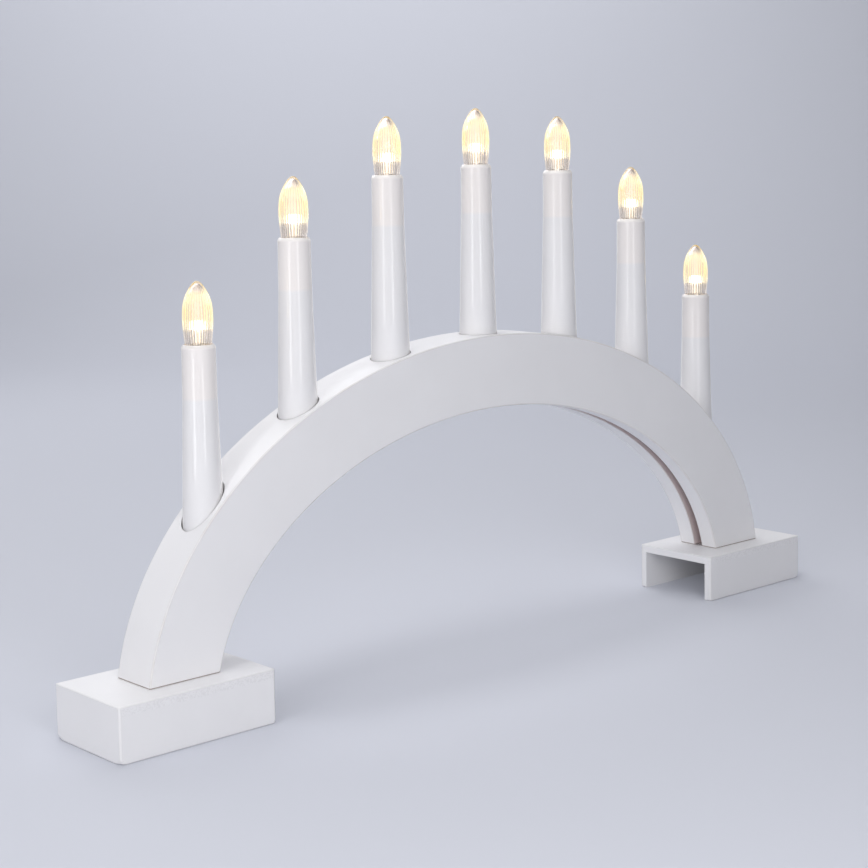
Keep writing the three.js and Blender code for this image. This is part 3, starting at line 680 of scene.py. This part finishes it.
def board(name, node, roundings, sawn=False, cutters=(), blunt=None):
    """A board in the node's box. roundings pairs a radius with a test of an edge's middle, by its signs."""
    low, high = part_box(node)
    middle, half = (low + high) / 2, (high - low) / 2
    bm = bmesh.new()
    weight = bm.edges.layers.float.new("bevel_weight_edge")
    bmesh.ops.create_cube(bm, size=2)
    widest = max(radius for radius, _ in roundings)
    for edge in bm.edges:
        sign = [round(c) for c in (edge.verts[0].co + edge.verts[1].co) / 2]
        edge[weight] = max((radius / widest for radius, test in roundings if test(*sign)), default=0)
    for vert in bm.verts:
        vert.co = Vector(m + c * h for m, c, h in zip(middle, vert.co, half))
    mesh = bpy.data.meshes.new(name)
    bm.to_mesh(mesh)
    bm.free()
    piece = new_object(name, mesh)
    wear(piece, *FOOT_LOOKS)
    bevel = piece.modifiers.new("rounded", "BEVEL")
    bevel.limit_method = "WEIGHT"
    bevel.width = widest * MM
    bevel.segments = 6
    # The rounded edges take the darker edge colour, painted shade against their highlight.
    bevel.material = 2
    bored(piece, cutters)
    if blunt:
        blunt_corners(piece.data, low, high, *blunt)
    finish_mesh(piece.data, 50)
    if sawn:
        for face in piece.data.polygons:
            if face.material_index == 0 and abs(face.normal.y) > 0.7:
                face.material_index = 1
    weighted(piece)
    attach(piece, "stand")
    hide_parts(node)
    return piece


def foot_borers(foot):
    low, high = FOOT_UNDERSIDE - OVERCUT, FOOT_HEIGHT + OVERCUT
    made = []
    for place in ("front", "rear"):
        x, y, _ = screw_place(foot, place)
        mouth, shank = HEAD_RADIUS + SCREW_GAP, SHANK_RADIUS + SCREW_GAP
        rise = FOOT_UNDERSIDE + HEAD_RIM
        profile = (
            (0, low),
            (mouth, low),
            (mouth, rise),
            (shank, rise + mouth - shank),
            (shank, high),
            (0, high),
        )
        made.append(borer(f"{foot}_{place}_sink", profile, x, y, FOOT_LOOKS, raw_edge))
    if foot == "left":
        made.append(borer("wire_hole", rod(LOOM_RADIUS + LOOM_GAP, low, high), LOOM_X, 0, FOOT_LOOKS, raw_edge))
    return made


FOOT_LOOKS = (foot_paint, board_edge, foot_edge_shade, raw_edge)
for foot, out in (("left", -1), ("right", 1)):
    board(
        f"{foot}_top_board",
        f"{foot}_foot_top",
        ((TOP_ROUNDING, lambda x, y, z: z > 0), (POST_ROUNDING, lambda x, y, z: z == 0)),
        sawn=True,
        cutters=foot_borers(foot),
    )
    for wall, way in (("front", -1), ("rear", 1)):
        board(
            f"{foot}_{wall}_board",
            f"{foot}_foot_{wall}_wall",
            (
                (POST_ROUNDING, lambda x, y, z, way=way: z == 0 and y == way),
                (BASE_ROUNDING, lambda x, y, z, way=way: z < 0 and y == way),
                (BASE_ROUNDING, lambda x, y, z, out=out: z < 0 and x == out),
                (TOP_ROUNDING, lambda x, y, z, out=out: z < 0 and x == -out),
            ),
            blunt=(out, way),
        )
    board(
        f"{foot}_end_board",
        f"{foot}_foot_end_wall",
        ((BASE_ROUNDING, lambda x, y, z, out=out: z < 0 and x == out),),
    )


# Candles


def rib_radius(radius, z, angle):
    fade = min(1, max(0, (RIB_END - z) / RIB_FADE))
    wave = 0.5 - 0.5 * math.sin(RIB_COUNT * angle)
    return max(0, radius - RIB_DEPTH * fade * wave * min(1, radius / RIB_FULL_RADIUS))


def flame_mesh():
    outer = smooth_curve(FLAME, 4)
    inner = list(reversed(smooth_curve(FLAME_HOLLOW, 3)))
    sides = RIB_COUNT * RIB_STEPS
    shell = lathe("flame", outer, sides, radius_at=rib_radius)
    hollow = lathe("flame_hollow", inner, sides)
    hollow.polygons.foreach_set("material_index", [1] * len(hollow.polygons))
    bm = bmesh.new()
    bm.from_mesh(shell)
    bm.from_mesh(hollow)
    bpy.data.meshes.remove(hollow)
    rims = [e for e in bm.edges if e.is_boundary]
    bmesh.ops.bridge_loops(bm, edges=rims)
    bm.to_mesh(shell)
    bm.free()
    return finish_mesh(shell, 60)


def led_mesh():
    turns = [math.radians(a) for a in range(15, 91, 15)]
    dome = [(DOME_RADIUS * math.cos(a), DOME_CENTRE + DOME_RADIUS * math.sin(a)) for a in turns]
    mesh = lathe("led", [*LED_STEM, *dome], 32)
    for face in mesh.polygons:
        face.material_index = 1 if face.center.z > RESIN_FROM * MM else 0
    return finish_mesh(mesh, 40)


tube = finish_mesh(lathe("tube", TUBE, 96, closed=True), 40)
flame = flame_mesh()
led = led_mesh()
tube.materials.append(tube_plastic.material)
flame.materials.append(flame_glass.material)
flame.materials.append(inner_glass.material)
led.materials.append(stem_plastic.material)
led.materials.append(led_resin.material)
for k in CANDLES:
    for name, mesh, body, node, slot in (
        ("tube", tube, "stand", "candle_tube", "candle_plastic"),
        ("flame", flame, f"bulb_{k}", "bulb_shell", "bulb_glass"),
        ("led", led, f"bulb_{k}", "bulb_led", "led_resin"),
    ):
        piece = new_object(f"{name}_{k}", mesh)
        piece.location = candle_place(k)
        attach(piece, body)
        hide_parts(f"{node}_{k}")


# Screws, wires and cells


def screw_mesh():
    looks = (nickel,)
    screw = new_object("screw", finish_mesh(lathe("screw", SCREW, 48), 30))
    wear(screw, *looks)
    cutters = []
    for i, (half_x, half_y) in enumerate(SCREW_RECESS):
        points = []
        for z, share in ((-OVERCUT, 1), (0, 1), (SCREW_RECESS_DEPTH, SCREW_RECESS_TAPER)):
            x, y = half_x * share, half_y * share
            points += [(-x, -y, z), (x, -y, z), (x, y, z), (-x, y, z)]
        faces = [(0, 3, 2, 1), (8, 9, 10, 11)]
        for row in (0, 4):
            faces += [(row + n, row + (n + 1) % 4, row + 4 + (n + 1) % 4, row + 4 + n) for n in range(4)]
        cutter = new_object(f"recess_{i}", finish_mesh(mesh_from(f"recess_{i}", points, faces)))
        wear(cutter, *looks)
        cutters.append(cutter)
    bored(screw, cutters)
    mesh = finish_mesh(screw.data, 30)
    bpy.data.objects.remove(screw)
    return mesh


def twin_wire(path):
    """Two cores side by side along a path in the XZ plane, as points and faces."""
    core, gap = CORE_RADIUS, CORE_RADIUS * 0.82
    section = []
    for side, start in ((1, -125), (-1, 55)):
        for k in range(11):
            a = math.radians(start + 25 * k)
            section.append((core * math.sin(a), side * gap + core * math.cos(a)))
    points, faces = [], []
    size = len(section)
    for i, place in enumerate(path):
        ahead = Vector(path[min(i + 1, len(path) - 1)]) - Vector(path[max(i - 1, 0)])
        ahead.normalize()
        for across, y in section:
            points.append((place[0] + across * ahead.y, y, place[1] - across * ahead.x))
    for j in range(len(path) - 1):
        for i in range(size):
            n = (i + 1) % size
            faces.append((j * size + i, j * size + n, (j + 1) * size + n, (j + 1) * size + i))
    last = (len(path) - 1) * size
    faces += [tuple(range(size)), tuple(range(last, last + size))]
    return points, faces


def loom_mesh():
    places = [candle_place(k) / MM for k in CANDLES]
    run = []
    for i in range(LOOM_STEPS + 1):
        x = places[-1].x + (places[0].x - places[-1].x) * (1 - math.cos(math.pi * i / LOOM_STEPS)) / 2
        run.append((x, height_over(x, LOOM_INSET)))
    run += [(LOOM_X, z) for z in LOOM_TURNS]
    paths = [smooth_curve(run, LOOM_SMOOTHING)]
    for place in places:
        low, high = height_over(place.x, LOOM_INSET), place.z - LOOM_TOP
        paths.append([(place.x, low + (high - low) * i / BRANCH_STEPS) for i in range(BRANCH_STEPS + 1)])
    points, faces = [], []
    for path in paths:
        more, sides = twin_wire(path)
        faces += [tuple(len(points) + corner for corner in side) for side in sides]
        points += more
    return finish_mesh(mesh_from("loom", points, faces), 50)


def cell_mesh():
    mesh = finish_mesh(lathe("cell", CELL, 64), 30)
    wrap, bare = range(2)
    least_radius, least_height = CELL_WRAP_FROM
    for face in mesh.polygons:
        radius = math.hypot(face.center.x, face.center.y) / MM
        face.material_index = wrap if radius > least_radius and face.center.z > least_height * MM else bare
    return mesh


screw = screw_mesh()
for foot in ("left", "right"):
    for place in ("front", "rear"):
        piece = new_object(f"{foot}_{place}_screw", screw)
        piece.location = screw_place(foot, place) * MM
        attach(piece, "stand")
        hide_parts(f"{foot}_screw_{place}")

loom = new_object("loom", loom_mesh())
wear(loom, wire_sheath)
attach(loom, "stand")
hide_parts("wiring_loom")

cell = cell_mesh()
cell.materials.append(cell_wrap.material)
cell.materials.append(nickel.material)
for k, way in ((1, -1), (2, 1)):
    low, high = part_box(f"battery_cell_{k}")
    piece = new_object(f"cell_{k}", cell)
    flat_end = low.x if way > 0 else high.x
    piece.location = (flat_end, (low.y + high.y) / 2, (low.z + high.z) / 2)
    piece.rotation_euler = (0, math.radians(90 * way), 0)
    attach(piece, "stand")
    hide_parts(f"battery_cell_{k}")


# Solids that keep their shape


def dress(node, look, softened=0.0):
    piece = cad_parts[node]
    wear(piece, look)
    if softened:
        bevel = piece.modifiers.new("softened", "BEVEL")
        bevel.width = softened * MM
        bevel.segments = 2
        bevel.limit_method = "ANGLE"
        bevel.angle_limit = math.radians(40)


for k in CANDLES:
    dress(f"lamp_socket_{k}", white_plastic)
    dress(f"bulb_base_{k}", nickel)
for node in ("contact_link", "contact_spring", "contact_plate"):
    dress(node, nickel)
for node in ("battery_tray", "battery_cover", "switch_body"):
    dress(node, black_plastic, 0.25)
dress("switch_slider", white_plastic, 0.3)
dress("tray_pad", foam)


# Stage


def backdrop():
    """A floor that curves up behind the object, square to the camera."""
    bend = BACKDROP_BEND
    foot = BACKDROP_PLACE - bend
    profile = [(s, 0) for s in (*FLOOR_FRONT, foot)]
    for k in range(1, BACKDROP_STEPS + 1):
        a = math.pi / 2 * k / BACKDROP_STEPS
        profile.append((foot + bend * math.sin(a), bend - bend * math.cos(a)))
    profile.append((BACKDROP_PLACE, BACKDROP_HEIGHT))
    ahead = Vector((math.sin(CAMERA_YAW), math.cos(CAMERA_YAW), 0))
    right = Vector((math.cos(CAMERA_YAW), -math.sin(CAMERA_YAW), 0))
    points = []
    for s, z in profile:
        for w in (-BACKDROP_HALF_WIDTH, BACKDROP_HALF_WIDTH):
            points.append(tuple((ahead * s + right * w + Vector((0, 0, z))) / MM))
    faces = [(2 * i, 2 * i + 1, 2 * i + 3, 2 * i + 2) for i in range(len(profile) - 1)]
    mesh = mesh_from("backdrop", points, faces)
    for face in mesh.polygons:
        face.use_smooth = True
    piece = new_object("backdrop", mesh)
    look = Look("backdrop_paper", (0.6, 0.615, 0.675), 0.9)
    look.set("Specular IOR Level", 0.1)
    look.set("Emission Color", (0.54, 0.555, 0.63, 1))
    rays = look.node("ShaderNodeLightPath").outputs
    mirrored = look.math("MAXIMUM", rays["Is Glossy Ray"], rays["Is Transmission Ray"])
    seen = look.math("MAXIMUM", rays["Is Camera Ray"], mirrored)
    across, before = (
        look.node("ShaderNodeVectorMath", {0: look.place, 1: way}, operation="DOT_PRODUCT").outputs["Value"]
        for way in (right, -ahead)
    )
    beside = look.math("SUBTRACT", look.math("ABSOLUTE", across), SIDE_MARGIN)
    away = look.math("MAXIMUM", before, beside)
    glow = look.spread(away, GLOW_NEAR[0], GLOW_FAR[0], GLOW_NEAR[1], GLOW_FAR[1])
    look.set("Emission Strength", look.math("MULTIPLY", seen, glow))
    wear(piece, look)


def area_light(name, place, target, size, watts, mirrored=True):
    lamp = bpy.data.lights.new(name, "AREA")
    lamp.shape = "RECTANGLE"
    lamp.size, lamp.size_y = size
    lamp.energy = watts
    holder = bpy.data.objects.new(name, lamp)
    bpy.context.scene.collection.objects.link(holder)
    holder.location = place
    holder.rotation_mode = "QUATERNION"
    holder.rotation_quaternion = (Vector(target) - Vector(place)).to_track_quat("-Z", "Y")
    holder.visible_camera = False
    holder.visible_glossy = mirrored


def world_light(strength, seen_strength, colour):
    """Light from all round, paler where the camera sees it, itself or in gloss and glass."""
    world = bpy.data.worlds.new("studio")
    bpy.context.scene.world = world
    world.use_nodes = True
    nodes, links = world.node_tree.nodes, world.node_tree.links
    rays = nodes.new("ShaderNodeLightPath").outputs
    seen = rays["Is Camera Ray"]
    for kind in ("Is Glossy Ray", "Is Transmission Ray"):
        either = nodes.new("ShaderNodeMath")
        either.operation = "MAXIMUM"
        links.new(seen, either.inputs[0])
        links.new(rays[kind], either.inputs[1])
        seen = either.outputs[0]
    level = nodes.new("ShaderNodeMapRange")
    level.inputs["To Min"].default_value = strength
    level.inputs["To Max"].default_value = seen_strength
    links.new(seen, level.inputs["Value"])
    shade = nodes["Background"]
    shade.inputs["Color"].default_value = (*colour, 1)
    links.new(level.outputs["Result"], shade.inputs["Strength"])


def camera():
    lens = bpy.data.cameras.new("camera")
    lens.sensor_width = SENSOR
    lens.lens = FOCAL_PIXELS / IMAGE_SIZE * SENSOR
    lens.shift_y = (AXIS_ROW - IMAGE_SIZE / 2) / IMAGE_SIZE
    lens.clip_start, lens.clip_end = 0.01, 50
    holder = bpy.data.objects.new("camera", lens)
    bpy.context.scene.collection.objects.link(holder)
    sy, cy = math.sin(CAMERA_YAW), math.cos(CAMERA_YAW)
    sp, cp = math.sin(CAMERA_PITCH), math.cos(CAMERA_PITCH)
    ahead = Vector((sy * cp, cy * cp, -sp))
    level = Vector((cy, -sy, 0))
    above = level.cross(ahead)
    c, s = math.cos(CAMERA_ROLL), math.sin(CAMERA_ROLL)
    right, up = c * level + s * above, -s * level + c * above
    turn = Matrix((right, up, -ahead)).transposed()
    holder.matrix_world = Matrix.Translation(Vector(CAMERA_PLACE) * MM) @ turn.to_4x4()
    bpy.context.scene.camera = holder


backdrop()
area_light("key", (-0.8, -0.8, 0.5), (0, 0, 0.1), (1.5, 1.0), 3.5, mirrored=False)
area_light("front", (-0.42, -0.62, 0.32), (-0.1, 0, 0.1), (0.35, 0.35), 1.1, mirrored=False)
area_light("far_left", (-2.2, -0.1, 0.5), (0, 0, 0.1), (0.9, 0.7), 4.8, mirrored=False)
area_light("top", (-0.05, 0.08, 1.0), (-0.05, 0.03, 0), (0.9, 0.6), 4.4)
area_light("back", (0.1, 1.1, 0.9), (0, 0, 0.05), (1.2, 0.8), 4.4)
area_light("wall", (1.0, 1.45, 1.6), (1.5, 1.85, 0.7), (1.6, 0.6), 15)
area_light("left_strip", (-1.115, -0.275, 0.45), (0, 0, 0.45), (0.2, 0.9), 1.7)
area_light("right_strip", (-0.405, -1.075, 0.45), (0, 0, 0.45), (0.14, 0.9), 1.4)
world_light(0.16, 0.4, (0.9, 0.92, 1))
camera()
bpy.context.scene.view_settings.view_transform = "Standard"
